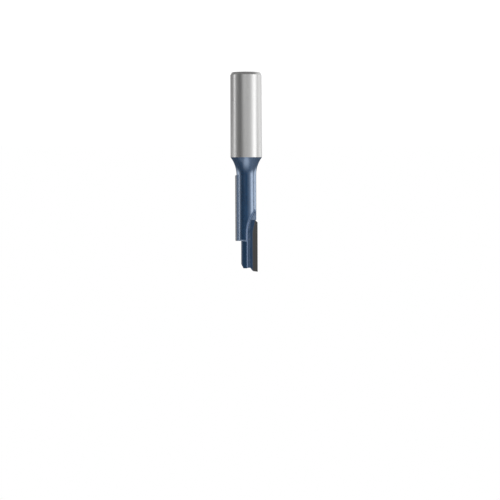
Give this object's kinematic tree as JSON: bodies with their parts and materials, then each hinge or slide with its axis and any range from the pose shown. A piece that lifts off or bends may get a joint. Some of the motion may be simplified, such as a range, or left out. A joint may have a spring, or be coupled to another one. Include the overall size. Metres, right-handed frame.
{
  "type": "router bit",
  "caption": "Straight-cutting router bit: ground steel shank, concave flare and coated fluted body with staggered carbide tips brazed on opposite sides.",
  "frame": {"origin": "centre of the flat end of the shank, on the surface that the bit stands on", "axes": "+Z along the shank from its flat end towards the cutting end, +X towards the upper tip, the lower tip towards -X with its cutting face towards -Y"},
  "size_m": [0.0126, 0.0126, 0.0807],
  "materials": {
    "body_steel": "ground shank, glossy blue coat on the flare and the fluted body",
    "carbide": "fine ground grey",
    "braze": "dull solidified filler"
  },
  "bodies": {
    "root": {"body": "body_steel", "upper_tip": "carbide", "lower_tip": "carbide", "upper_braze": "braze", "lower_braze": "braze"}
  },
  "joints": []
}
